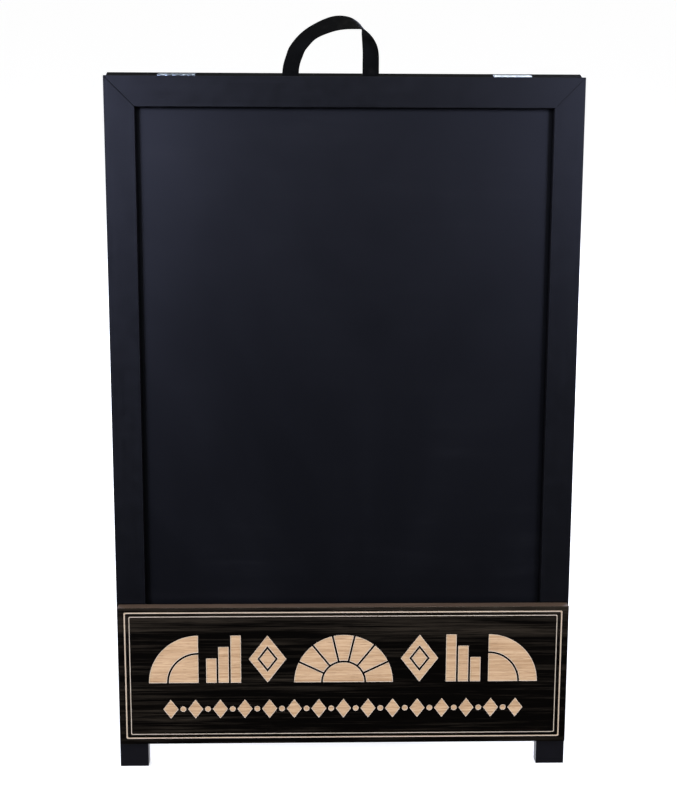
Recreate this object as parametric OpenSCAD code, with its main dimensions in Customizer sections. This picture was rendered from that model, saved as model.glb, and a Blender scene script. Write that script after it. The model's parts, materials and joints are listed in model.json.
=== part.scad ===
// Free-standing wooden A-board: two framed chalkboards hinged together at the top,
// each with a name board across its foot, a webbing carry handle and two webbing stays.
//
// Origin: on the floor, midway between the two boards and midway across their width.
// +X is to the right of a reader facing the front board, +Y points from the front board
// to the rear board, and +Z is up.

/* [Boards] */
// Width of each board
board_w = 650; // [600:1:700]
// Length of each board from its top face to its foot, along its slope
board_h = 984; // [940:1:1040]
// Thickness of the frame timber
frame_t = 18; // [17:0.5:22]
// Face width of the frame timber
member_w = 41; // [38:1:46]
// Lean of each board from upright when the stays are taut
lean = 10.5; // [8:0.5:13]
// Gap between the two boards when they are folded flat
board_gap = 3; // [3:0.5:5]

/* [Chalkboard] */
// Thickness of the writing panel
panel_t = 4; // [3:0.5:5]
// Width of the rebate that holds the panel's edge
rebate_w = 8; // [7:0.5:9]
// Clearance round the panel in its rebate
panel_clear = 0.5; // [0.3:0.1:1]
// Distance from a board's top face to the upper edge of its bottom rail
bottom_rail_drop = 893; // [885:1:895]

/* [Name board] */
// Width of the name board
sign_w = 644; // [600:1:646]
// Height of the name board
sign_h = 204; // [200:1:208]
// Thickness of its core
sign_core_t = 16.4; // [14:0.2:18]
// Thickness of the pale veneer under the dark face
veneer_t = 0.8; // [0.6:0.1:1.2]
// Thickness of the dark face, which is cut through to show the veneer
face_t = 0.8; // [0.6:0.1:1.2]
// Distance from a board's top face to the name board's upper edge
sign_drop = 737.5; // [730:0.5:738]

/* [Name board ornament] */
// Height of the large row of ornament
large_row_h = 71; // [60:1:74]
// Overall width of the large row
large_row_w = 558; // [540:2:570]
// Height of the small row of ornament
small_row_h = 29; // [24:1:32]
// Number of lozenges in the small row
small_row_count = 15; // [9:2:17]
// Width of the dark slits inside the large shapes
slit_w = 2.6; // [2:0.2:4]
// Width of the outer border line
outer_line_w = 1.9; // [1.5:0.1:2.5]
// Width of the inner border line
inner_line_w = 1.2; // [0.8:0.1:1.6]

/* [Hinges] */
// Length of each hinge
hinge_l = 50; // [45:1:60]
// Distance of each hinge from the middle of the board
hinge_x = 229; // [200:1:245]
// Width of a leaf, measured from the pin's axis
leaf_w = 16.4; // [15:0.2:17]
// Thickness of a leaf
leaf_t = 1.5; // [1.2:0.1:1.8]
// Radius of the barrel
barrel_r = 2.5; // [2.4:0.05:2.6]
// Radius of the hinge pin
pin_r = 1.5; // [1.3:0.05:1.6]

/* [Webbing] */
// Width of the handle and stay webbing
strap_w = 22.5; // [20:0.5:24]
// Thickness of the handle webbing
handle_t = 1.6; // [1.2:0.1:1.8]
// Thickness of the stay webbing
stay_t = 1.2; // [1:0.1:1.3]
// Distance of the stays below the hinge axis, along a board
stay_drop = 600; // [450:10:680]

/* [Hidden] */
$fn = 48;
sides = [-1, 1];
fit = 0.05;             // clearance round a fastener or dowel
cut = 1;                // overrun of a cutting shape past the face that it cuts
tip_r = 0.2;            // radius of the point of a screw or nail
foot_land = 6;          // width of the flat land on the lower edge of each foot
barrel_clear = 0.15;    // clearance between a hinge's barrel and what it turns past
pivot_h = barrel_r - leaf_t + barrel_clear;   // height of the hinge axis above a board's top face
face_y = -board_gap / 2 - frame_t;    // front face of a board in its own frame
back_y = -board_gap / 2;              // back face of a board in its own frame
foot_trim = foot_land * sin(lean) * cos(lean);
pivot_z = (pivot_h + board_h) * cos(lean) - board_gap / 2 * sin(lean) - foot_trim;

opening_w = board_w - 2 * member_w;
pocket_w = opening_w + 2 * rebate_w;
pocket_top = member_w - rebate_w;
pocket_h = bottom_rail_drop + rebate_w - pocket_top;
member_mid_x = (board_w - member_w) / 2;

// Nails round the panel
nail_r = 0.8;
nail_l = 12;
nail_tip_l = 1.5;
nail_head_r = 1.8;
nail_head_t = 0.6;
nails_per_side = 6;
nail_pitch_down = 156;
nail_pitch_across = 190;
first_nail_drop = 80;
nail_x = opening_w / 2 + rebate_w / 2;
nail_drops = [for (i = [0:nails_per_side - 1]) first_nail_drop + i * nail_pitch_down];
nail_columns = [for (i = [-1:1]) i * nail_pitch_across];
nail_rows = [member_w - rebate_w / 2, bottom_rail_drop + rebate_w / 2];

// Dowels
dowel_r = 4;
mitre_dowel_l = 36;
rail_dowel_l = 50;
rail_dowel_pitch = 18;
rail_mid_drop = bottom_rail_drop + member_w / 2;
rail_dowel_drops = [for (s = sides) rail_mid_drop + s * rail_dowel_pitch / 2];

// Screws that hold the name board, two in each stile and two in the bottom rail: [x, drop]
stile_screw_drops = [sign_drop + 28, bottom_rail_drop - 23];
rail_screw_x = 150;
sign_screws_at = concat(
    [for (s = sides, d = stile_screw_drops) [s * member_mid_x, d]],
    [for (s = sides) [s * rail_screw_x, rail_mid_drop]]);
sign_screw_r = 2;
sign_screw_head_r = 4;
sign_screw_head_t = 2.4;
sign_screw_l = 30;

// Hinge knuckles
knuckles = 5;
knuckle_gap = 0.2;
knuckle_l = (hinge_l - (knuckles - 1) * knuckle_gap) / knuckles;
front_knuckles = [0, 2, 4];
rear_knuckles = [1, 3];
leaf_inner = 1.6;       // where a leaf starts, measured from the pin's axis
pin_head_r = 2.1;
pin_head_t = 0.4;
pin_head_gap = 0.1;
pin_l = hinge_l + 2 * (pin_head_gap + pin_head_t);
mortise_clear = 0.2;
hinge_screw_y = 10;
hinge_screw_xs = [-18, 0, 18];
hinge_screw_r = 1.5;
hinge_screw_head_r = 3;
hinge_screw_l = 16;

// Wafer-head screws through the webbing
wafer_r = 4.5;
wafer_top_r = 3.2;
wafer_t = 1.4;
wafer_shank_r = 2;
wafer_shank_l = 14;

// Handle ends, let into the back of the front board's top rail
handle_tail = 30;
handle_ends = [-74.75, 34.45];
handle_screw_drops = [9, 21];
tail_clear = 0.2;

// The two edges of the handle's ribbon, from its left end to its right end, measured from
// the hinge axis: a smooth curve runs through each edge's points. The ribbon leans over to the
// right, lies on its side across the top, and turns over once at the right shoulder, so the
// edge that starts outermost ends innermost.
handle_edge_a = [
    [-86, -3, -4], [-84.5, -0.5, 12], [-80.5, 2, 26], [-73.5, 7, 41], [-51.5, 13, 62], [-19.5, 12, 77],
    [3.5, 14, 77.5], [20.5, 16.5, 66.5], [22.5, 13.5, 52.5], [23.5, 7, 34], [23.5, 0.5, 12], [23.4, -3, -4]];
handle_edge_b = [
    [-63.7, -3, -4], [-62, -0.5, 12], [-58, 2, 24.5], [-52.5, 1, 36], [-39.5, -1, 49.5], [-14.5, -0.5, 59.5],
    [10, -2, 62], [24, -5.5, 61.5], [36.5, -4, 51.5], [44.5, -1, 35], [45.7, -0.5, 12], [45.5, -3, -4]];
steps_per_span = 3;

// Stays, down the middle of the stiles' faces outside the panel's pocket
stay_x = (pocket_w + board_w) / 4;
stay_tab = 35;
stay_screw_offset = 18;

// Ornament
sign_mid_drop = sign_drop + sign_h / 2;
border_rise = 0.7;
border_corner_r = 2;
outer_inset = [10, 8];
inner_inset = [16.5, 13.8];
large_row_drop = 76.5;
small_row_drop = 151.5;
small_row_w = 532;

frame_colour = [0.13, 0.135, 0.165];
board_colour = [0.10, 0.105, 0.125];
core_colour = [0.34, 0.26, 0.20];
oak_colour = [0.86, 0.72, 0.54];
dark_face_colour = [0.06, 0.05, 0.045];
zinc_colour = [0.78, 0.79, 0.80];
steel_colour = [0.62, 0.63, 0.65];
beech_colour = [0.80, 0.64, 0.44];
webbing_colour = [0.05, 0.05, 0.05];

// ---- Placing ----

// A board's own frame has its origin on the hinge axis, -Y out of its face and +Z up
// its slope. "Left" and "right" are as seen by a reader facing that board.
module on_front() {
    translate([0, 0, pivot_z])
        rotate([-lean, 0, 0])
            children();
}

module on_rear() {
    rotate([0, 0, 180])
        on_front()
            children();
}

// A point on a board's back face, with +Z into the timber
module at_back(x, drop) {
    translate([x, back_y, -pivot_h - drop])
        rotate([90, 0, 0])
            children();
}

// Extrudes an outline drawn as x against height, from y = from_y towards the reader
module plate(from_y, thickness) {
    translate([0, from_y, 0])
        rotate([90, 0, 0])
            linear_extrude(thickness)
                children();
}

// ---- Fasteners ----

module cross_recess(r) {
    slot_l = 1.1 * r;
    slot_w = 0.2 * r;
    depth = 0.35 * r;
    for (a = [0, 90])
        rotate([0, 0, a])
            translate([-slot_l / 2, -slot_w / 2, -cut])
                cube([slot_l, slot_w, cut + depth]);
}

// A countersunk screw: its head's rim at z = 0, its point towards +Z
module countersunk_screw(r, head_r, head_t, l) {
    difference() {
        union() {
            cylinder(r1 = head_r, r2 = r, h = head_t);
            cylinder(r = r, h = l - 2 * r);
            translate([0, 0, l - 2 * r])
                cylinder(r1 = r, r2 = tip_r, h = 2 * r);
        }
        cross_recess(head_r);
    }
}

module countersunk_hole(r, head_r, head_t, l) {
    translate([0, 0, -cut])
        cylinder(r = r + fit, h = l + 2 * cut);
    translate([0, 0, -fit])
        cylinder(r1 = head_r + 2 * fit, r2 = r + fit, h = head_t + fit);
}

// A low, wide-headed screw: the underside of its head at z = 0, its point towards +Z
module wafer_screw() {
    difference() {
        union() {
            translate([0, 0, -wafer_t / 2])
                cylinder(r = wafer_r, h = wafer_t / 2);
            translate([0, 0, -wafer_t])
                cylinder(r1 = wafer_top_r, r2 = wafer_r, h = wafer_t / 2);
            cylinder(r = wafer_shank_r, h = wafer_shank_l - 2 * wafer_shank_r);
            translate([0, 0, wafer_shank_l - 2 * wafer_shank_r])
                cylinder(r1 = wafer_shank_r, r2 = tip_r, h = 2 * wafer_shank_r);
        }
        translate([0, 0, -wafer_t])
            cross_recess(wafer_top_r);
    }
}

module wafer_hole() {
    translate([0, 0, -wafer_t - cut])
        cylinder(r = wafer_shank_r + fit, h = wafer_t + cut + wafer_shank_l + fit);
}

// ---- Where the fasteners go ----

module at_nails() {
    for (s = sides, d = nail_drops)
        at_back(s * nail_x, d)
            children();
    for (x = nail_columns, d = nail_rows)
        at_back(x, d)
            children();
}

module at_mitre_dowels() {
    for (s = sides)
        translate([s * member_mid_x, (face_y + back_y) / 2, -pivot_h - member_w / 2])
            rotate([0, s * -45, 0])
                children();
}

module at_rail_dowels() {
    for (s = sides, d = rail_dowel_drops)
        translate([s * opening_w / 2, (face_y + back_y) / 2, -pivot_h - d])
            rotate([0, 90, 0])
                children();
}

module at_sign_screws() {
    for (p = sign_screws_at)
        at_back(p[0], p[1])
            children();
}

module at_handle_screws() {
    for (x = handle_ends, d = handle_screw_drops)
        at_back(x, d)
            children();
}

// way is 1 where the stay's tab runs up a board and -1 where it runs down
module at_stay_screws(way) {
    for (s = sides)
        at_back(s * stay_x, stay_drop - pivot_h - way * stay_screw_offset)
            translate([0, 0, -stay_t])
                children();
}

module at_hinge_screws() {
    for (x = hinge_screw_xs)
        translate([x, -hinge_screw_y, -pivot_h])
            rotate([180, 0, 0])
                children();
}

// ---- Board frame ----

module panel_block(grow, from_y, thickness) {
    translate([-pocket_w / 2 - grow, from_y - thickness, -pivot_h - pocket_top - pocket_h - grow])
        cube([pocket_w + 2 * grow, thickness, pocket_h + 2 * grow]);
}

module nail_hole() {
    translate([0, 0, -cut])
        cylinder(r = nail_r + fit, h = nail_l + cut);
}

module dowel(r, l) {
    cylinder(r = r, h = l, center = true);
}

// Everything below the floor, in a board's own frame
module below_floor() {
    rotate([lean, 0, 0])
        translate([-board_w, -board_w, -pivot_z - board_w])
            cube([2 * board_w, 2 * board_w, board_w]);
}

// way is 1 or -1 as the stay's tab on this board runs up or down
module stile(side, way) {
    color(frame_colour)
        difference() {
            plate(back_y, frame_t)
                polygon([
                    [side * board_w / 2, -pivot_h],
                    [side * opening_w / 2, -pivot_h - member_w],
                    [side * opening_w / 2, -pivot_h - board_h],
                    [side * board_w / 2, -pivot_h - board_h]]);
            panel_block(0, back_y + cut, panel_t + cut);
            at_nails()
                nail_hole();
            at_mitre_dowels()
                dowel(dowel_r + fit, mitre_dowel_l + 2 * fit);
            at_rail_dowels()
                dowel(dowel_r + fit, rail_dowel_l + 2 * fit);
            at_sign_screws()
                countersunk_hole(sign_screw_r, sign_screw_head_r, sign_screw_head_t, sign_screw_l);
            at_stay_screws(way)
                wafer_hole();
            below_floor();
        }
}

module hinge_mortises() {
    for (s = sides)
        translate([s * hinge_x - pin_l / 2 - mortise_clear, -leaf_w - mortise_clear, -pivot_h - leaf_t])
            cube([pin_l + 2 * mortise_clear, leaf_w + cut, leaf_t + cut]);
}

module handle_recesses() {
    recess_w = strap_w + 2 * tail_clear;
    recess_t = handle_t + tail_clear;
    recess_l = handle_tail + tail_clear;
    for (x = handle_ends)
        translate([x - recess_w / 2, back_y - recess_t, -pivot_h - recess_l])
            cube([recess_w, recess_t + cut, recess_l + cut]);
}

module top_rail(has_handle) {
    color(frame_colour)
        difference() {
            plate(back_y, frame_t)
                polygon([
                    [-board_w / 2, -pivot_h],
                    [board_w / 2, -pivot_h],
                    [opening_w / 2, -pivot_h - member_w],
                    [-opening_w / 2, -pivot_h - member_w]]);
            panel_block(0, back_y + cut, panel_t + cut);
            at_nails()
                nail_hole();
            at_mitre_dowels()
                dowel(dowel_r + fit, mitre_dowel_l + 2 * fit);
            hinge_mortises();
            for (s = sides)
                at_hinge(s)
                    at_hinge_screws()
                        cylinder(r = hinge_screw_r + fit, h = hinge_screw_l + fit);
            if (has_handle) {
                handle_recesses();
                at_handle_screws()
                    wafer_hole();
            }
        }
}

module bottom_rail() {
    color(frame_colour)
        difference() {
            translate([-opening_w / 2, face_y, -pivot_h - bottom_rail_drop - member_w])
                cube([opening_w, frame_t, member_w]);
            panel_block(0, back_y + cut, panel_t + cut);
            at_nails()
                nail_hole();
            at_rail_dowels()
                dowel(dowel_r + fit, rail_dowel_l + 2 * fit);
            at_sign_screws()
                countersunk_hole(sign_screw_r, sign_screw_head_r, sign_screw_head_t, sign_screw_l);
        }
}

module chalkboard() {
    color(board_colour)
        difference() {
            panel_block(-panel_clear, back_y, panel_t);
            at_nails() {
                nail_hole();
                translate([0, 0, -cut])
                    cylinder(r = nail_head_r + fit, h = nail_head_t + fit + cut);
            }
        }
}

module panel_nails() {
    color(steel_colour)
        at_nails() {
            cylinder(r = nail_head_r, h = nail_head_t);
            cylinder(r = nail_r, h = nail_l - nail_tip_l);
            translate([0, 0, nail_l - nail_tip_l])
                cylinder(r1 = nail_r, r2 = tip_r, h = nail_tip_l);
        }
}

module mitre_dowels() {
    color(beech_colour)
        at_mitre_dowels()
            dowel(dowel_r, mitre_dowel_l);
}

module rail_dowels() {
    color(beech_colour)
        at_rail_dowels()
            dowel(dowel_r, rail_dowel_l);
}

// ---- Name board ----

// Draws on the name board's face: origin at its middle, x to the right, y up
module on_sign(from_y, thickness) {
    translate([0, 0, -pivot_h - sign_mid_drop])
        plate(from_y, thickness)
            children();
}

module sign_board() {
    color(core_colour)
        difference() {
            on_sign(face_y, sign_core_t)
                square([sign_w, sign_h], center = true);
            at_sign_screws()
                cylinder(r = sign_screw_r + fit, h = sign_screw_l + fit);
        }
}

module sign_veneer() {
    color(oak_colour)
        on_sign(face_y - sign_core_t, veneer_t)
            square([sign_w, sign_h], center = true);
}

module rounded_rect(w, h, r) {
    square([w, h - 2 * r], center = true);
    square([w - 2 * r, h], center = true);
    for (x = sides, y = sides)
        translate([x * (w / 2 - r), y * (h / 2 - r)])
            circle(r = r);
}

// A line of width w round the name board, inset from its edges by [x, y] to its middle
module border_line(inset, w) {
    translate([0, border_rise])
        difference() {
            rounded_rect(sign_w - 2 * inset[0] + w, sign_h - 2 * inset[1] + w, border_corner_r);
            rounded_rect(sign_w - 2 * inset[0] - w, sign_h - 2 * inset[1] - w, border_corner_r);
        }
}

// A half disc with its flat side down, cut by rays and by one ring
module fan(r) {
    rays = 7;
    hub_r = 0.42 * r;
    translate([0, -r / 2])
        difference() {
            intersection() {
                circle(r = r);
                translate([-r, 0])
                    square([2 * r, r]);
            }
            for (i = [1:rays - 1])
                rotate([0, 0, i * 180 / rays])
                    translate([hub_r, -slit_w / 2])
                        square([r, slit_w]);
            difference() {
                circle(r = hub_r + slit_w);
                circle(r = hub_r);
            }
        }
}

module lozenge(w, h) {
    polygon([[-w / 2, 0], [0, -h / 2], [w / 2, 0], [0, h / 2]]);
}

// A lozenge cut by a smaller one, which leaves a slit along each side
module slit_lozenge(w, h) {
    core = 0.42;
    core_and_slit = core + slit_w * 2 * norm([w, h]) / (w * h);
    difference() {
        lozenge(w, h);
        lozenge(core_and_slit * w, core_and_slit * h);
    }
    lozenge(core * w, core * h);
}

// Bars that step down to the right, on a common foot
module stepped_bars(w, h) {
    bars = 3;
    bar_w = (w - (bars - 1) * slit_w) / bars;
    step_h = 0.24 * h;
    for (i = [0:bars - 1])
        translate([-w / 2 + i * (bar_w + slit_w), -h / 2])
            square([bar_w, h - i * step_h]);
}

// A quarter disc with its corner at the lower left, cut by one ring
module quarter_fan(r) {
    ring_r = 0.6 * r;
    difference() {
        intersection() {
            circle(r = r);
            square([r, r]);
        }
        difference() {
            circle(r = ring_r + slit_w);
            circle(r = ring_r);
        }
    }
}

module large_row() {
    lozenge_w = 54;
    bars_w = 50;
    gap = (large_row_w / 2 - 2 * large_row_h - lozenge_w - bars_w) / 3;
    fan(large_row_h);
    for (s = [0, 1])
        mirror([s, 0]) {
            translate([large_row_h + gap + lozenge_w / 2, 0])
                slit_lozenge(lozenge_w, large_row_h);
            translate([large_row_h + 2 * gap + lozenge_w + bars_w / 2, 0])
                stepped_bars(bars_w, large_row_h);
            translate([large_row_w / 2 - large_row_h, -large_row_h / 2])
                quarter_fan(large_row_h);
        }
}

module small_row() {
    pitch = small_row_w / small_row_count;
    lozenge_w = 0.62 * pitch;
    dot_r = 0.12 * pitch;
    last = (small_row_count - 1) / 2;
    for (i = [-last:last])
        translate([i * pitch, 0])
            lozenge(lozenge_w, small_row_h);
    for (i = [-last:last - 1])
        translate([(i + 0.5) * pitch, 0])
            circle(r = dot_r);
}

module sign_face() {
    color(dark_face_colour)
        on_sign(face_y - sign_core_t - veneer_t, face_t)
            difference() {
                square([sign_w, sign_h], center = true);
                border_line(outer_inset, outer_line_w);
                border_line(inner_inset, inner_line_w);
                translate([0, sign_h / 2 - large_row_drop])
                    large_row();
                translate([0, sign_h / 2 - small_row_drop])
                    small_row();
            }
}

module sign_screws() {
    color(steel_colour)
        at_sign_screws()
            countersunk_screw(sign_screw_r, sign_screw_head_r, sign_screw_head_t, sign_screw_l);
}

// ---- Hinges ----

module at_hinge(side) {
    translate([side * hinge_x, 0, 0])
        children();
}

module at_knuckles(which) {
    for (k = which)
        translate([(k - (knuckles - 1) / 2) * (knuckle_l + knuckle_gap), 0, 0])
            rotate([0, 90, 0])
                children();
}

module hinge_leaf(own, other) {
    color(zinc_colour)
        difference() {
            union() {
                translate([-hinge_l / 2, -leaf_w, -pivot_h - leaf_t])
                    cube([hinge_l, leaf_w - leaf_inner, leaf_t]);
                at_knuckles(own)
                    cylinder(r = barrel_r, h = knuckle_l, center = true);
            }
            at_knuckles(other)
                cylinder(r = barrel_r + barrel_clear, h = knuckle_l + 2 * knuckle_gap, center = true);
            rotate([0, 90, 0])
                cylinder(r = pin_r + fit, h = hinge_l + 2 * cut, center = true);
            at_hinge_screws()
                countersunk_hole(hinge_screw_r, hinge_screw_head_r, leaf_t, leaf_t);
        }
}

module hinge_pin() {
    color(zinc_colour)
        rotate([0, 90, 0]) {
            cylinder(r = pin_r, h = pin_l, center = true);
            for (s = sides)
                translate([0, 0, s * (pin_l - pin_head_t) / 2])
                    cylinder(r = pin_head_r, h = pin_head_t, center = true);
        }
}

module hinge_screws() {
    color(steel_colour)
        at_hinge_screws()
            countersunk_screw(hinge_screw_r, hinge_screw_head_r, leaf_t, hinge_screw_l);
}

// ---- Webbing ----

function unit(v) = v / norm(v);

// The point a share t of the way from point i to the next, on a smooth curve through points
function curve_point(points, i, t) =
    let (last = len(points) - 1)
    let (a = points[max(i - 1, 0)])
    let (b = points[i])
    let (c = points[min(i + 1, last)])
    let (d = points[min(i + 2, last)])
    b + t / 2 * (c - a + t * (2 * a - 5 * b + 4 * c - d + t * (3 * b - a - 3 * c + d)));

function curve(points) =
    [for (i = [0:steps_per_span * (len(points) - 1)])
        curve_point(points, floor(i / steps_per_span), (i % steps_per_span) / steps_per_span)];

// The direction through the ribbon's thickness at station i of its edges a and b
function ribbon_normal(a, b, i) =
    let (next = min(i + 1, len(a) - 1))
    let (previous = max(i - 1, 0))
    unit(cross(b[i] - a[i], a[next] + b[next] - a[previous] - b[previous]));

module handle_ribbon() {
    edge_a = curve(handle_edge_a);
    edge_b = curve(handle_edge_b);
    count = len(edge_a);
    points = [for (i = [0:count - 1])
        let (out = handle_t / 2 * ribbon_normal(edge_a, edge_b, i))
        for (p = [edge_a[i] + out, edge_b[i] + out, edge_b[i] - out, edge_a[i] - out])
            p];
    sides_of_ribbon = [for (i = [0:count - 2], k = [0:3])
        let (a = 4 * i + k)
        let (b = 4 * i + (k + 1) % 4)
        for (t = [[b + 4, b, a], [a + 4, b + 4, a]])
            t];
    last = 4 * (count - 1);
    ends = [[1, 2, 3], [0, 1, 3], [last + 2, last + 1, last], [last + 3, last + 2, last]];
    polyhedron(points, concat(sides_of_ribbon, ends));
}

module handle_tails() {
    difference() {
        for (x = handle_ends)
            translate([x - strap_w / 2, back_y - handle_t, -pivot_h - handle_tail])
                cube([strap_w, handle_t, handle_tail + pivot_h]);
        at_handle_screws()
            wafer_hole();
    }
}

module carry_handle() {
    color(webbing_colour) {
        on_front()
            handle_tails();
        translate([0, 0, pivot_z])
            handle_ribbon();
    }
}

module handle_screws() {
    color(steel_colour)
        on_front()
            at_handle_screws()
                wafer_screw();
}

// way is 1 where the tab runs up its board and -1 where it runs down
module stay_tab(side, way) {
    difference() {
        translate([side * stay_x, back_y + stay_t / 2, -stay_drop + way * (stay_tab - stay_t) / 2])
            cube([strap_w, stay_t, stay_tab], center = true);
        at_stay_screws(way)
            wafer_hole();
    }
}

module stay(side) {
    half_span = stay_drop * sin(lean) + (board_gap - stay_t) / 2 * cos(lean);
    color(webbing_colour) {
        on_front()
            stay_tab(side, 1);
        on_rear()
            stay_tab(-side, -1);
        translate([side * stay_x, 0, pivot_z - stay_drop * cos(lean)])
            cube([strap_w, 2 * half_span, stay_t], center = true);
    }
}

module stay_screws(way) {
    color(steel_colour)
        at_stay_screws(way)
            wafer_screw();
}

// ---- The parts ----

on_front() stile(-1, 1);  // front_left_stile
on_front() stile(1, 1);  // front_right_stile
on_front() top_rail(true);  // front_top_rail
on_front() bottom_rail();  // front_bottom_rail
on_front() chalkboard();  // front_chalkboard
on_front() panel_nails();  // front_panel_nails
on_front() mitre_dowels();  // front_mitre_dowels
on_front() rail_dowels();  // front_rail_dowels
on_front() sign_board();  // front_sign_board
on_front() sign_veneer();  // front_sign_veneer
on_front() sign_face();  // front_sign_face
on_front() sign_screws();  // front_sign_screws
on_rear() stile(-1, -1);  // rear_left_stile
on_rear() stile(1, -1);  // rear_right_stile
on_rear() top_rail(false);  // rear_top_rail
on_rear() bottom_rail();  // rear_bottom_rail
on_rear() chalkboard();  // rear_chalkboard
on_rear() panel_nails();  // rear_panel_nails
on_rear() mitre_dowels();  // rear_mitre_dowels
on_rear() rail_dowels();  // rear_rail_dowels
on_rear() sign_board();  // rear_sign_board
on_rear() sign_veneer();  // rear_sign_veneer
on_rear() sign_face();  // rear_sign_face
on_rear() sign_screws();  // rear_sign_screws
on_front() at_hinge(-1) hinge_leaf(front_knuckles, rear_knuckles);  // left_hinge_front_leaf
on_rear() at_hinge(1) hinge_leaf(rear_knuckles, front_knuckles);  // left_hinge_rear_leaf
on_front() at_hinge(-1) hinge_pin();  // left_hinge_pin
on_front() at_hinge(-1) hinge_screws();  // left_hinge_front_screws
on_rear() at_hinge(1) hinge_screws();  // left_hinge_rear_screws
on_front() at_hinge(1) hinge_leaf(front_knuckles, rear_knuckles);  // right_hinge_front_leaf
on_rear() at_hinge(-1) hinge_leaf(rear_knuckles, front_knuckles);  // right_hinge_rear_leaf
on_front() at_hinge(1) hinge_pin();  // right_hinge_pin
on_front() at_hinge(1) hinge_screws();  // right_hinge_front_screws
on_rear() at_hinge(-1) hinge_screws();  // right_hinge_rear_screws
carry_handle();
handle_screws();
stay(-1);  // left_stay
stay(1);  // right_stay
on_front() stay_screws(1);  // stay_front_screws
on_rear() stay_screws(-1);  // stay_rear_screws
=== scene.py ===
"""Looks of a folding wooden A-board: painted frames, chalkboards, name boards, zinc hinges and webbing.

Metres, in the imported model's frame: +X right of a reader facing the front board, +Y towards the rear
board, +Z up. A board's own frame has its origin on the hinge axis, -Y out of its face and +Z up its slope.
"""
import json
import math

import bpy
import numpy as np
from mathutils import Matrix, Vector


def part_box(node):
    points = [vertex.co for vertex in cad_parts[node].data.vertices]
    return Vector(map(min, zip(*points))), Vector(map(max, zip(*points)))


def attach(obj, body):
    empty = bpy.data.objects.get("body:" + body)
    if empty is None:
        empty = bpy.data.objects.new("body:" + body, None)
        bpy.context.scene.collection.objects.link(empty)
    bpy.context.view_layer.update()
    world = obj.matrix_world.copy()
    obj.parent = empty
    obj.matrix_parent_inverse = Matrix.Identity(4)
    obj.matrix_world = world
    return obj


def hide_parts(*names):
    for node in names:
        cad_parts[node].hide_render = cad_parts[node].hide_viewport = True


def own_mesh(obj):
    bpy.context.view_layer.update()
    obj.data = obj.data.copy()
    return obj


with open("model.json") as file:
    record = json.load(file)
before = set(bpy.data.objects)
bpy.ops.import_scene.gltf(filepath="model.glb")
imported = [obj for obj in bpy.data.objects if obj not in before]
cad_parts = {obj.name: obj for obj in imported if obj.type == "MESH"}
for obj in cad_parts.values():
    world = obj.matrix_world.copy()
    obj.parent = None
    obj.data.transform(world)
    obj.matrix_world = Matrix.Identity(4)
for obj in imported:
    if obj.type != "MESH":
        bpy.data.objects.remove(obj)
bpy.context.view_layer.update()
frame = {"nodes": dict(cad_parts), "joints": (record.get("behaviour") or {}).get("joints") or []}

MM = 0.001
fold = next(j for j in frame["joints"] if j["name"] == "fold")
pivot = Vector(fold["pos_m"])
lean = math.radians(fold["range_deg"][1]) / 2
front_frame = Matrix.Translation(pivot) @ Matrix.Rotation(-lean, 4, "X")
tilts = {"front": lean, "rear": -lean}


# ---- Camera ----

CAMERA_AT = Vector((-0.0514, -1.8024, 1.1560))
CAMERA_PITCH = math.radians(20.0)      # downwards
CAMERA_YAW = math.radians(-1.457)
CAMERA_ROLL = math.radians(-0.447)
CAMERA_LENS = 58.28                    # mm, on a 36 mm sensor


def make_camera():
    data = bpy.data.cameras.new("camera")
    data.lens = CAMERA_LENS
    data.sensor_width = 36
    camera = bpy.data.objects.new("camera", data)
    bpy.context.scene.collection.objects.link(camera)
    level = Matrix.Rotation(math.pi / 2 - CAMERA_PITCH, 3, "X")
    turned = Matrix.Rotation(CAMERA_YAW, 3, "Z") @ level @ Matrix.Rotation(-CAMERA_ROLL, 3, "Z")
    camera.matrix_world = Matrix.Translation(CAMERA_AT) @ turned.to_4x4()
    bpy.context.scene.camera = camera


# ---- Stage and light ----

FLOOR_REACH = 40                       # from the object to the floor's edges
FLOOR_GLOW = 0.72                      # a floor that glows, so that it photographs as plain white
SKY_STRENGTH = 0.35                    # overhead, against 1 at the horizon
SKY_FADE = (10, 45)                    # degrees above the horizon between which it dims

KEY_AZIMUTH = 34                       # degrees either side of a board's front
KEY_DISTANCE = 3.0
KEY_HEIGHT = 1.8
KEY_AIM = (0.2, 0.6)                   # how far to its own side and how high it points
KEY_SIZE = (1.0, 1.4)
KEY_WATTS = 92
KEY_LEFT_BIAS = 0.34                   # share by which a board's left key is stronger
KEY_COLOUR = (0.67, 0.72, 1.0)
OVERHEAD_HEIGHT = 3.5
OVERHEAD_SIZE = 2.5
OVERHEAD_WATTS = 60

FLAG_NEAR, FLAG_NEAR_HALF_W = 0.2, 0.45  # where a black card starts before a board, and its width there
FLAG_FAR, FLAG_FAR_HALF_W = 3.6, 3.0     # where it turns up, and its width from there on
FLAG_HEIGHT = 2.2


def softbox(name, at, towards, size, watts, colour):
    data = bpy.data.lights.new(name, "AREA")
    data.shape = "RECTANGLE"
    data.size, data.size_y = size
    data.energy = watts
    data.color = colour
    light = bpy.data.objects.new(name, data)
    light.visible_camera = False
    bpy.context.scene.collection.objects.link(light)
    aim = Vector(towards) - Vector(at)
    light.matrix_world = Matrix.Translation(at) @ aim.to_track_quat("-Z", "Y").to_matrix().to_4x4()


def sheet(name, corners, material):
    mesh = bpy.data.meshes.new(name)
    mesh.from_pydata(corners, [], [(0, 1, 2, 3)])
    mesh.materials.append(material)
    piece = bpy.data.objects.new(name, mesh)
    bpy.context.scene.collection.objects.link(piece)
    return piece


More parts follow.
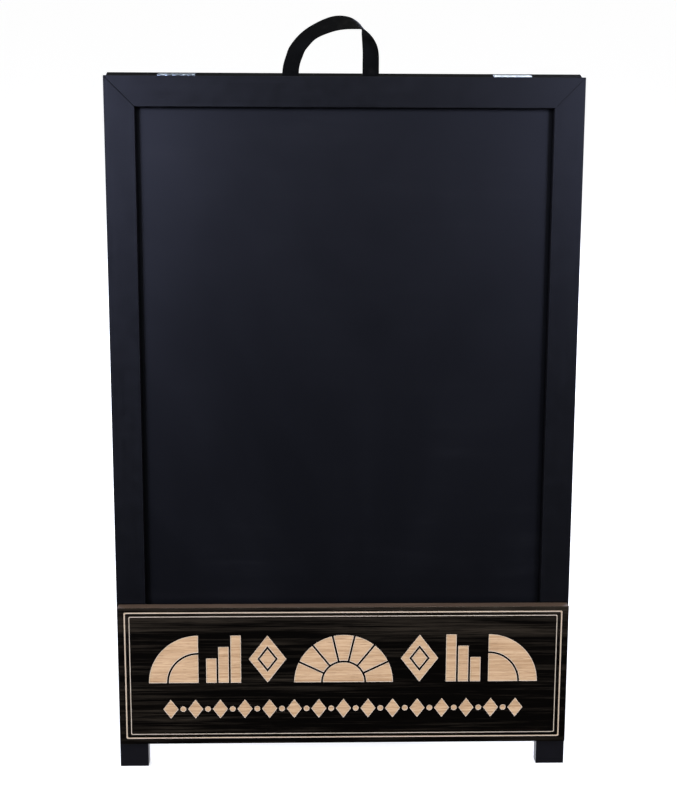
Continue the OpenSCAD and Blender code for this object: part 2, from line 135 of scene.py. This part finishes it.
def black_flags():
    """Black studio cards before and behind the object, which show only in its reflections."""
    s = Shading("flag")
    s.set(base_color=(0, 0, 0), roughness=1.0, specular_ior_level=0.0)
    for way in (-1, 1):
        near, far = way * FLAG_NEAR, way * FLAG_FAR
        lying = [(-FLAG_NEAR_HALF_W, near, MM), (FLAG_NEAR_HALF_W, near, MM),
                 (FLAG_FAR_HALF_W, far, MM), (-FLAG_FAR_HALF_W, far, MM)]
        standing = [(-FLAG_FAR_HALF_W, far, MM), (FLAG_FAR_HALF_W, far, MM),
                    (FLAG_FAR_HALF_W, far, FLAG_HEIGHT), (-FLAG_FAR_HALF_W, far, FLAG_HEIGHT)]
        for corners in (lying, standing):
            flag = sheet("flag", corners, s.material)
            flag.visible_camera = False
            flag.visible_diffuse = False
            flag.visible_shadow = False
            flag.visible_transmission = False


def make_floor():
    reach = FLOOR_REACH
    corners = [(-reach, -reach, 0), (reach, -reach, 0), (reach, reach, 0), (-reach, reach, 0)]
    sheet("floor", corners, floor_material())


def make_sky():
    """A white horizon that dims overhead."""
    world = bpy.data.worlds.new("studio")
    bpy.context.scene.world = world
    world.use_nodes = True
    nodes, links = world.node_tree.nodes, world.node_tree.links
    direction = nodes.new("ShaderNodeTexCoord")
    split = nodes.new("ShaderNodeSeparateXYZ")
    height = nodes.new("ShaderNodeMapRange")
    links.new(direction.outputs["Generated"], split.inputs["Vector"])
    links.new(split.outputs["Z"], height.inputs["Value"])
    height.interpolation_type = "SMOOTHSTEP"
    height.inputs["From Min"].default_value = math.sin(math.radians(SKY_FADE[0]))
    height.inputs["From Max"].default_value = math.sin(math.radians(SKY_FADE[1]))
    height.inputs["To Min"].default_value = 1.0
    height.inputs["To Max"].default_value = SKY_STRENGTH
    links.new(height.outputs["Result"], nodes["Background"].inputs["Strength"])
    nodes["Background"].inputs["Color"].default_value = (1, 1, 1, 1)


def make_lights():
    """Two key lights before each board, and one overhead."""
    for way in (-1, 1):
        for side in (-1, 1):
            azimuth = side * math.radians(KEY_AZIMUTH)
            at = Vector((math.sin(azimuth), way * math.cos(azimuth), 0)) * KEY_DISTANCE
            at.z = KEY_HEIGHT
            watts = KEY_WATTS * (1 + way * side * KEY_LEFT_BIAS)
            softbox("key", at, (side * KEY_AIM[0], 0, KEY_AIM[1]), KEY_SIZE, watts, KEY_COLOUR)
    softbox("overhead", (0, 0, OVERHEAD_HEIGHT), (0, 0, 0), (OVERHEAD_SIZE, OVERHEAD_SIZE),
            OVERHEAD_WATTS, (1, 1, 1))


# ---- Material helpers ----

class Shading:
    """A Principled material and short ways to add nodes to it."""

    def __init__(self, name, tilt=0.0):
        self.material = bpy.data.materials.new(name)
        self.material.use_nodes = True
        self.tree = self.material.node_tree
        self.shader = self.tree.nodes["Principled BSDF"]
        coordinates = self.tree.nodes.new("ShaderNodeTexCoord")
        upright = self.tree.nodes.new("ShaderNodeMapping")
        upright.inputs["Rotation"].default_value = (tilt, 0, 0)
        self.link(coordinates.outputs["Object"], upright.inputs["Vector"])
        self.place = upright.outputs["Vector"]
        level = self.tree.nodes.new("ShaderNodeSeparateXYZ")
        self.link(coordinates.outputs["Object"], level.inputs["Vector"])
        self.height = level.outputs["Z"]
        split = self.tree.nodes.new("ShaderNodeSeparateXYZ")
        self.link(coordinates.outputs["Normal"], split.inputs["Vector"])
        self.facing_up = split.outputs["Z"]
        self.facing_out = self.math("MULTIPLY", split.outputs["Y"], -1.0 if tilt > 0 else 1.0)

    def link(self, source, target):
        self.tree.links.new(source, target)

    def set(self, **values):
        for name, value in values.items():
            self.feed(self.shader, name.replace("_", " ").title().replace("Ior", "IOR"), value)

    def feed(self, node, socket, value):
        if isinstance(value, bpy.types.NodeSocket):
            self.link(value, node.inputs[socket])
        elif isinstance(value, tuple) and len(value) == 3 and node.inputs[socket].type == "RGBA":
            node.inputs[socket].default_value = (*value, 1)
        else:
            node.inputs[socket].default_value = value

    def scaled(self, scale):
        """The place on the object, in metres, stretched by scale along x, y and z."""
        mapping = self.tree.nodes.new("ShaderNodeMapping")
        mapping.inputs["Scale"].default_value = scale
        self.link(self.place, mapping.inputs["Vector"])
        return mapping.outputs["Vector"]

    def noise(self, scale, detail=4.0, roughness=0.55, distortion=0.0):
        """Noise with scale cells a metre along x, y and z."""
        node = self.tree.nodes.new("ShaderNodeTexNoise")
        self.link(self.scaled(scale), node.inputs["Vector"])
        node.inputs["Scale"].default_value = 1.0
        node.inputs["Detail"].default_value = detail
        node.inputs["Roughness"].default_value = roughness
        node.inputs["Distortion"].default_value = distortion
        return node.outputs["Fac"]

    def math(self, operation, first, second=0.0):
        node = self.tree.nodes.new("ShaderNodeMath")
        node.operation = operation
        self.feed(node, 0, first)
        self.feed(node, 1, second)
        return node.outputs["Value"]

    def between(self, value, low, high, to_low=0.0, to_high=1.0):
        """value mapped from low..high to to_low..to_high, and held there outside it."""
        node = self.tree.nodes.new("ShaderNodeMapRange")
        self.link(value, node.inputs["Value"])
        node.inputs["From Min"].default_value = low
        node.inputs["From Max"].default_value = high
        node.inputs["To Min"].default_value = to_low
        node.inputs["To Max"].default_value = to_high
        return node.outputs["Result"]

    def mix(self, share, first, second):
        node = self.tree.nodes.new("ShaderNodeMix")
        node.data_type = "RGBA"
        self.feed(node, "Factor", share)
        for socket, colour in ((node.inputs[6], first), (node.inputs[7], second)):
            if isinstance(colour, bpy.types.NodeSocket):
                self.link(colour, socket)
            else:
                socket.default_value = (*colour, 1)
        return node.outputs[2]

    def bump(self, height, distance, strength=1.0, under=None):
        node = self.tree.nodes.new("ShaderNodeBump")
        self.link(height, node.inputs["Height"])
        node.inputs["Distance"].default_value = distance
        node.inputs["Strength"].default_value = strength
        if under is not None:
            self.link(under, node.inputs["Normal"])
        return node.outputs["Normal"]

    def worn_edge(self, radius):
        """1 on an outside edge, falling to 0 within radius of it."""
        bevel = self.tree.nodes.new("ShaderNodeBevel")
        bevel.samples = 4
        bevel.inputs["Radius"].default_value = radius
        geometry = self.tree.nodes.new("ShaderNodeNewGeometry")
        dot = self.tree.nodes.new("ShaderNodeVectorMath")
        dot.operation = "DOT_PRODUCT"
        self.link(bevel.outputs["Normal"], dot.inputs[0])
        self.link(geometry.outputs["Normal"], dot.inputs[1])
        return self.between(dot.outputs["Value"], 0.995, 0.86)

    def hollow(self, distance):
        """1 in the open, falling to 0 beside a wall within distance."""
        node = self.tree.nodes.new("ShaderNodeAmbientOcclusion")
        node.samples = 8
        node.inputs["Distance"].default_value = distance
        return node.outputs["AO"]


def along(axis, lengthwise, crosswise):
    """A noise scale: lengthwise cells a metre along one axis, crosswise along the other two."""
    return tuple(lengthwise if name == axis else crosswise for name in "xyz")


# ---- Materials ----

def floor_material():
    s = Shading("floor")
    s.set(base_color=(0.55, 0.55, 0.55), roughness=1.0, specular_ior_level=0.0,
          emission_color=(1.0, 1.0, 1.0), emission_strength=FLOOR_GLOW)
    return s.material


PAINT_SHEEN = (0.84, 0.865, 1.0)
BACK_GLOSS = 0.05       # gloss of the boards' backs against that of their fronts
PAINTED_CORNER_SHADE = (0.0004, 0.0004, 0.0005)       # painted shade, in the corners between panel and frame
# painted light: a paler colour for the feet
FOOT_PAINTED_LIGHT = (0.0078, 0.0068, 0.0072)
FOOT_PAINTED_LIGHT_TOP = 0.14    # height at which the painted light on the feet ends


def painted_frame(axis, tilt):
    """Satin blue-black paint over planed softwood, matte on the boards' top edges, with painted shade in
    its corners and painted light at the feet.
    """
    s = Shading(f"paint_{axis}", tilt)
    mottle = s.noise((9, 9, 9), detail=3)
    grain = s.noise(along(axis, 5, 420), detail=5, roughness=0.6, distortion=0.4)
    peel = s.noise((900, 900, 900), detail=2)
    # painted shade: colour and gloss fall within 3 mm of a wall, beside the panel and in the mitres
    unshaded = s.between(s.hollow(3 * MM), 0.50, 0.97, 0.03, 1.0)
    colour = s.mix(s.between(mottle, 0.3, 0.7), (0.0014, 0.0014, 0.0014), (0.0022, 0.0022, 0.0022))
    rub = s.math("MULTIPLY", s.worn_edge(1.0 * MM), s.between(s.noise((160, 160, 160)), 0.42, 0.62, 0.1, 1))
    # painted light: the feet are painted paler towards the floor
    colour = s.mix(s.between(s.height, 0.02, FOOT_PAINTED_LIGHT_TOP, 0.36, 0.0), colour, FOOT_PAINTED_LIGHT)
    colour = s.mix(s.math("MULTIPLY", rub, 0.25), colour, (0.030, 0.031, 0.036))
    colour = s.mix(unshaded, PAINTED_CORNER_SHADE, colour)
    roughness = s.between(s.math("ADD", grain, s.noise((60, 60, 60))), 0.7, 1.3, 0.30, 0.36)
    relief = s.bump(grain, 0.10 * MM, 0.5)
    relief = s.bump(peel, 0.03 * MM, 0.5, under=relief)
    gloss = s.math("MULTIPLY", s.between(s.facing_up, 0.5, 0.9, 0.22, 0.004), unshaded)
    gloss = s.math("MULTIPLY", s.between(s.facing_out, -0.9, -0.5, BACK_GLOSS, 1.0), gloss)
    s.set(base_color=colour, roughness=roughness, specular_ior_level=gloss, specular_tint=PAINT_SHEEN,
          normal=relief)
    return s.material


def chalkboard(tilt):
    """Matte blackboard paint on hardboard, with the faint clouds that a wiping cloth leaves, and painted
    shade beside the frame.
    """
    s = Shading("chalkboard", tilt)
    clouds = s.noise((3.2, 3.2, 2.2), detail=5, roughness=0.6, distortion=0.8)
    wipes = s.noise((5, 5, 60), detail=4, distortion=0.6)
    tooth = s.noise((1500, 1500, 1500), detail=2)
    # painted shade: colour and gloss fall within 6 mm of the frame's walls
    unshaded = s.between(s.hollow(6 * MM), 0.45, 0.85, 0.1, 1.0)
    colour = s.mix(s.between(clouds, 0.35, 0.75), (0.0010, 0.0010, 0.0010), (0.0015, 0.0015, 0.0015))
    haze = s.math("MULTIPLY", s.between(wipes, 0.5, 0.8), s.between(clouds, 0.4, 0.7))
    colour = s.mix(s.math("MULTIPLY", haze, 0.015), colour, (0.16, 0.16, 0.16))
    colour = s.mix(unshaded, PAINTED_CORNER_SHADE, colour)
    roughness = s.between(clouds, 0.3, 0.7, 0.34, 0.40)
    gloss = s.math("MULTIPLY", s.between(s.facing_out, -0.9, -0.5, BACK_GLOSS, 1.0), 0.24)
    s.set(base_color=colour, roughness=roughness, specular_ior_level=s.math("MULTIPLY", unshaded, gloss),
          specular_tint=PAINT_SHEEN, normal=s.bump(tooth, 0.03 * MM, 0.5))
    return s.material


def dark_face(tilt, low, high):
    """Near-black laminate with a fine horizontal wood grain, and painted light that makes it a little paler
    towards its top edge.
    """
    s = Shading("dark_face", tilt)
    streaks = s.noise((7, 620, 620), detail=5, roughness=0.75, distortion=0.25)
    figure = s.noise((4, 130, 130), detail=4, distortion=0.6)
    pores = s.noise((34, 1800, 1800), detail=3, roughness=0.6)
    broad = s.noise((3, 40, 40), detail=2)
    level = s.between(s.height, low, high)
    lit = s.math("ADD", streaks, s.math("MULTIPLY", figure, 0.8))
    lit = s.math("ADD", lit, s.between(broad, 0.35, 0.65, -0.12, 0.04))
    # painted light: the face is painted paler towards its top edge
    lit = s.math("ADD", lit, s.between(level, 0.72, 0.90, -0.02, 0.10))
    colour = s.mix(s.between(lit, 0.84, 1.24), (0.0010, 0.0007, 0.0004), (0.0190, 0.0145, 0.0092))
    colour = s.mix(s.math("MULTIPLY", s.between(pores, 0.54, 0.64), 0.7), colour, (0.0006, 0.0005, 0.0004))
    relief = s.bump(s.math("SUBTRACT", streaks, s.between(pores, 0.55, 0.68)), 0.05 * MM, 0.6)
    s.set(base_color=colour, roughness=s.between(streaks, 0.3, 0.7, 0.46, 0.58),
          specular_ior_level=0.012, normal=relief)
    return s.material


def pale_oak(tilt):
    """Pale oak veneer under the dark face, paler along the edges of the cuts, its own edges stained."""
    s = Shading("pale_oak", tilt)
    streaks = s.noise((9, 520, 520), detail=5, roughness=0.7, distortion=0.6)
    bands = s.noise((5, 110, 110), detail=4, distortion=1.5)
    pores = s.noise((60, 1500, 1500), detail=3)
    colour = s.mix(s.between(streaks, 0.36, 0.62), (0.235, 0.132, 0.056), (0.390, 0.258, 0.134))
    colour = s.mix(s.math("MULTIPLY", s.between(bands, 0.42, 0.62), 0.45), colour, (0.415, 0.280, 0.150))
    colour = s.mix(s.math("MULTIPLY", s.between(pores, 0.54, 0.64), 0.55), colour, (0.150, 0.082, 0.036))
    rim = s.between(s.hollow(1.2 * MM), 0.97, 0.70)
    colour = s.mix(rim, colour, (0.520, 0.430, 0.310))
    colour = s.mix(s.between(s.facing_out, 0.4, 0.6), (0.066, 0.041, 0.024), colour)
    s.set(base_color=colour, roughness=0.5, specular_ior_level=0.2,
          normal=s.bump(s.math("SUBTRACT", streaks, pores), 0.05 * MM, 0.6))
    return s.material


def sign_core(tilt):
    """Brown-stained edge of the name board, its layers and end fibres just visible."""
    s = Shading("sign_core", tilt)
    fibres = s.noise((14, 420, 420), detail=6, roughness=0.7)
    blotches = s.noise((12, 40, 40), detail=3)
    colour = s.mix(s.between(fibres, 0.35, 0.7), (0.052, 0.031, 0.017), (0.118, 0.076, 0.047))
    colour = s.mix(s.math("MULTIPLY", blotches, 0.4), colour, (0.07, 0.044, 0.027))
    rub = s.math("MULTIPLY", s.worn_edge(0.8 * MM), s.noise((220, 220, 220)))
    colour = s.mix(s.math("MULTIPLY", rub, 0.6), colour, (0.22, 0.15, 0.10))
    s.set(base_color=colour, roughness=s.between(fibres, 0.3, 0.7, 0.52, 0.66),
          specular_ior_level=0.3, normal=s.bump(fibres, 0.08 * MM, 0.7))
    return s.material


def plated_metal(name, colour, roughness, brushed, tarnish_and_shade=0.28):
    """Zinc plate: a soft brushed metal with cloudy patches, darker by up to a share: dulling, and on a
    darker copy also painted shade.
    """
    s = Shading(name)
    brush = s.noise((60, 1800, 1800), detail=3)
    clouds = s.noise((220, 220, 220), detail=4)
    dull = tuple((1 - tarnish_and_shade) * c for c in colour)
    s.set(base_color=s.mix(s.between(clouds, 0.35, 0.55), colour, dull), metallic=1.0,
          roughness=s.between(s.math("ADD", brush, clouds), 0.6, 1.4, roughness - 0.06, roughness + 0.10),
          normal=s.bump(brush, 0.02 * MM, brushed))
    return s.material


def beech(tilt):
    s = Shading("beech", tilt)
    fibres = s.noise((200, 200, 200), detail=5)
    s.set(base_color=s.mix(fibres, (0.50, 0.31, 0.16), (0.72, 0.50, 0.30)), roughness=0.6,
          normal=s.bump(fibres, 0.05 * MM, 0.6))
    return s.material


def webbing_cloth():
    """Black polypropylene webbing: dull yarns with a faint sheen and stray dust."""
    s = Shading("webbing")
    fuzz = s.noise((2600, 2600, 2600), detail=3)
    dust = s.noise((70, 70, 70), detail=4)
    colour = s.mix(s.between(fuzz, 0.3, 0.7), (0.0004, 0.0004, 0.0003), (0.0012, 0.0012, 0.0010))
    colour = s.mix(s.math("MULTIPLY", s.between(dust, 0.55, 0.8), 0.06), colour, (0.06, 0.055, 0.045))
    s.set(base_color=colour, roughness=s.between(fuzz, 0.3, 0.7, 0.48, 0.62), specular_ior_level=0.03,
          normal=s.bump(fuzz, 0.06 * MM, 0.6))
    return s.material


# ---- CAD nodes ----

WELD_REACH = 0.002 * MM
FLAT_ANGLE = math.radians(1)
SHARP_ANGLE = math.radians(40)
TIMBER_ROUND = 0.7 * MM
SIGN_BOARD_ROUND = 0.4 * MM
THIN_ROUND = 0.12 * MM  # on the name boards' faces and the hinges


def paint(node, material):
    mesh = frame["nodes"][node].data
    mesh.materials.clear()
    mesh.materials.append(material)


def soften(node, width, segments=2, clamp=False):
    """Rounds a CAD node's sharp edges over by width, or by less where clamp keeps them apart.

    The weld and the flat faces' dissolve come first, so that no triangle's edge marks a flat face.
    """
    o = frame["nodes"][node]
    weld = o.modifiers.new("weld", "WELD")
    weld.merge_threshold = WELD_REACH
    flats = o.modifiers.new("flats", "DECIMATE")
    flats.decimate_type = "DISSOLVE"
    flats.angle_limit = FLAT_ANGLE
    bevel = o.modifiers.new("round", "BEVEL")
    bevel.width = width
    bevel.segments = segments
    bevel.limit_method = "ANGLE"
    bevel.angle_limit = SHARP_ANGLE
    bevel.use_clamp_overlap = clamp
    bevel.harden_normals = True


def finish_boards():
    steel = plated_metal("steel", (0.50, 0.51, 0.53), 0.34, 0.4)
    for board, tilt in tilts.items():
        upright, across = painted_frame("z", tilt), painted_frame("x", tilt)
        for part in ("left_stile", "right_stile"):
            paint(f"{board}_{part}", upright)
            soften(f"{board}_{part}", TIMBER_ROUND, 3)
        for part in ("top_rail", "bottom_rail"):
            paint(f"{board}_{part}", across)
            soften(f"{board}_{part}", TIMBER_ROUND, 3)
        paint(f"{board}_chalkboard", chalkboard(tilt))
        paint(f"{board}_sign_board", sign_core(tilt))
        soften(f"{board}_sign_board", SIGN_BOARD_ROUND)
        paint(f"{board}_sign_veneer", pale_oak(tilt))
        low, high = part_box(f"{board}_sign_face")
        paint(f"{board}_sign_face", dark_face(tilt, low.z, high.z))
        soften(f"{board}_sign_face", THIN_ROUND, 1)
        for part in ("mitre_dowels", "rail_dowels"):
            paint(f"{board}_{part}", beech(tilt))
        for part in ("panel_nails", "sign_screws"):
            paint(f"{board}_{part}", steel)
    for part in ("handle_screws", "stay_front_screws", "stay_rear_screws"):
        paint(part, steel)


def finish_hinges():
    bright = plated_metal("zinc", (0.70, 0.78, 0.84), 0.30, 0.5)
    # painted shade: the left hinge's zinc is a darker copy of the right hinge's, with deeper dark patches
    painted_shade = plated_metal("zinc_weathered", (0.29, 0.345, 0.405), 0.34, 0.5, tarnish_and_shade=0.72)
    screw = plated_metal("hinge_screw", (0.50, 0.52, 0.54), 0.28, 0.3)
    for side, zinc in (("left", painted_shade), ("right", bright)):
        for part in ("front_leaf", "rear_leaf", "pin"):
            paint(f"{side}_hinge_{part}", zinc)
            soften(f"{side}_hinge_{part}", THIN_ROUND, clamp=True)
        for part in ("front_screws", "rear_screws"):
            paint(f"{side}_hinge_{part}", screw)


# ---- Webbing ----

STRAP_W = 22.5 * MM
HANDLE_T = 1.6 * MM
STAY_T = 1.2 * MM
RIBS = 11               # yarn columns across the webbing
RIB_POINTS = 5          # mesh points across each
PICK = 2.6 * MM         # length of one weave repeat along the webbing
PICK_POINTS = 5
YARN_H = 0.28 * MM      # how far a yarn stands proud
YARN_ROUND = 0.7        # below 1, a yarn's section is fuller than a half sine
UNDER = 0.3             # share of its height that a yarn keeps where it goes under
EDGE_POINTS = 4         # mesh points round each edge of the webbing

# The two edges of the handle's ribbon above the board, from its left end to its right end,
# in millimetres from the hinge axis.
HANDLE_A = [
    (-84.5, -0.5, 12), (-80.5, 2, 26), (-73.5, 7, 41), (-51.5, 13, 62), (-19.5, 12, 77),
    (3.5, 14, 77.5), (20.5, 16.5, 66.5), (22.5, 13.5, 52.5), (23.5, 7, 34), (23.5, 0.5, 12)]
HANDLE_B = [
    (-62, -0.5, 12), (-58, 2, 24.5), (-52.5, 1, 36), (-39.5, -1, 49.5), (-14.5, -0.5, 59.5),
    (10, -2, 62), (24, -5.5, 61.5), (36.5, -4, 51.5), (44.5, -1, 35), (45.7, -0.5, 12)]

# The handle's tails, down the back of the front board's top rail
LEFT_TAIL = (-86 * MM, -63.5 * MM)      # x of the ribbon's two edges
RIGHT_TAIL = (23.2 * MM, 45.7 * MM)
TAIL_DROPS = (30 * MM, 20 * MM, 8 * MM)
BOARD_BACK = -1.5 * MM  # y of the front board's back, in its own frame

STAY_DROP = 600 * MM    # how far down the board's slope a stay spans
STAY_TAB = 35 * MM
STAY_BEND = 4 * MM      # how far from its corner a stay starts to turn
SPAN_POINTS = 9         # on a stay's route from board to board


def spline(points, per_span=24):
    """A smooth curve through points (Catmull-Rom)."""
    p = np.array(points, float)
    p = np.vstack([2 * p[0] - p[1], p, 2 * p[-1] - p[-2]])
    t = np.linspace(0, 1, per_span, endpoint=False)[:, None]
    spans = []
    for i in range(1, len(p) - 2):
        a, b, c, d = p[i - 1:i + 3]
        spans.append(0.5 * (2 * b + (c - a) * t + (2 * a - 5 * b + 4 * c - d) * t**2
                            + (3 * b - a - 3 * c + d) * t**3))
    return np.vstack(spans + [p[-2][None]])


def weave(across, length):
    """Height of the woven face: across from 0 to 1 over the width, length in metres."""
    column = np.minimum(np.floor(across * RIBS), RIBS - 1)
    crown = np.sin(np.pi * (across * RIBS - column)) ** YARN_ROUND
    over = 0.5 + 0.5 * np.sin(2 * np.pi * length / PICK + np.pi * column)
    return YARN_H * crown * (UNDER + (1 - UNDER) * over)


def webbing(name, edge_a, edge_b, thickness, material):
    """Woven webbing between two edge curves, as a closed mesh with its weave in relief."""
    a, b = spline(edge_a), spline(edge_b)
    middle = (a + b) / 2
    run = np.concatenate([[0], np.cumsum(np.linalg.norm(np.diff(middle, axis=0), axis=1))])
    rings = int(run[-1] / PICK * PICK_POINTS)
    at = np.linspace(0, run[-1], rings)
    a = np.stack([np.interp(at, run, a[:, k]) for k in range(3)], 1)
    b = np.stack([np.interp(at, run, b[:, k]) for k in range(3)], 1)
    middle = (a + b) / 2
    wide = (b - a) / np.linalg.norm(b - a, axis=1)[:, None]
    forward = np.gradient(middle, axis=0)
    normal = np.cross(wide, forward)
    normal /= np.linalg.norm(normal, axis=1)[:, None]

    half = thickness / 2 - YARN_H
    across = np.linspace(0, 1, RIBS * RIB_POINTS + 1)
    flat = (across - 0.5) * (STRAP_W - 2 * half)
    turn = np.linspace(0, math.pi, EDGE_POINTS + 2)[1:-1]
    section = []
    section += [(u, half, 1, t) for u, t in zip(flat, across)]
    section += [(flat[-1] + half * math.sin(x), half * math.cos(x), 0, 0) for x in turn]
    section += [(u, -half, -1, t) for u, t in zip(flat[::-1], across[::-1])]
    section += [(flat[0] - half * math.sin(x), -half * math.cos(x), 0, 0) for x in turn]
    points = []
    for u, h, face, t in section:
        proud = face * weave(np.full(rings, t), at + (PICK / 2 if face < 0 else 0)) if face else 0
        points.append(middle + wide * u + normal * np.reshape(h + proud, (-1, 1)))
    loop = len(section)
    verts = np.stack(points, 1).reshape(-1, 3)
    faces = []
    for i in range(rings - 1):
        for k in range(loop):
            n = (k + 1) % loop
            faces.append((i * loop + k, i * loop + n, (i + 1) * loop + n, (i + 1) * loop + k))
    faces.append(tuple(range(loop))[::-1])
    faces.append(tuple((rings - 1) * loop + k for k in range(loop)))
    mesh = bpy.data.meshes.new(name)
    mesh.from_pydata(verts.tolist(), [], faces)
    mesh.validate()
    mesh.update()
    mesh.polygons.foreach_set("use_smooth", [True] * len(mesh.polygons))
    mesh.materials.append(material)
    piece = bpy.data.objects.new(name, mesh)
    bpy.context.scene.collection.objects.link(piece)
    return piece


def tail_points(x):
    """Points up the back of the front board's top rail, in the row frame."""
    return [tuple(front_frame @ Vector((x, BOARD_BACK - HANDLE_T / 2, -drop))) for drop in TAIL_DROPS]


def make_handle(cloth):
    edges = []
    for stations, left, right in zip((HANDLE_A, HANDLE_B), LEFT_TAIL, RIGHT_TAIL):
        loop = np.array(stations) * MM + np.array(pivot)
        edges.append(tail_points(left) + loop.tolist() + tail_points(right)[::-1])
    handle = webbing("handle_webbing", *edges, HANDLE_T, cloth)
    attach(handle, "front_frame")
    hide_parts("carry_handle")


def make_stays(cloth):
    """Each stay runs down a short tab on the front board, across, and on down a tab on the rear board."""
    drop, tab, bend = STAY_DROP, STAY_TAB, STAY_BEND
    depth = BOARD_BACK + STAY_T / 2
    for node in ("left_stay", "right_stay"):
        low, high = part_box(node)
        front = [front_frame @ Vector((0, depth, -drop + z)) for z in (tab, tab / 2, 2 * bend, bend)]
        corner = front_frame @ Vector((0, depth, -drop))
        reach = np.linspace(corner.y + bend, -corner.y - bend, SPAN_POINTS)
        across = [Vector((0, y, corner.z)) for y in reach]
        mirrored = [front_frame @ Vector((0, depth, -drop - z)) for z in (bend, 2 * bend, tab / 2, tab)]
        rear = [Vector((0, -p.y, p.z)) for p in mirrored]
        path = front + across + rear
        edge_a = [(low.x, p.y, p.z) for p in path]
        edge_b = [(high.x, p.y, p.z) for p in path]
        stay = webbing(f"{node}_webbing", edge_a, edge_b, STAY_T, cloth)
        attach(stay, "front_frame")
        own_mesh(stay)
        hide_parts(node)


make_camera()
make_floor()
black_flags()
make_sky()
make_lights()
bpy.context.scene.view_settings.view_transform = "Standard"
finish_boards()
finish_hinges()
cloth = webbing_cloth()
make_handle(cloth)
make_stays(cloth)
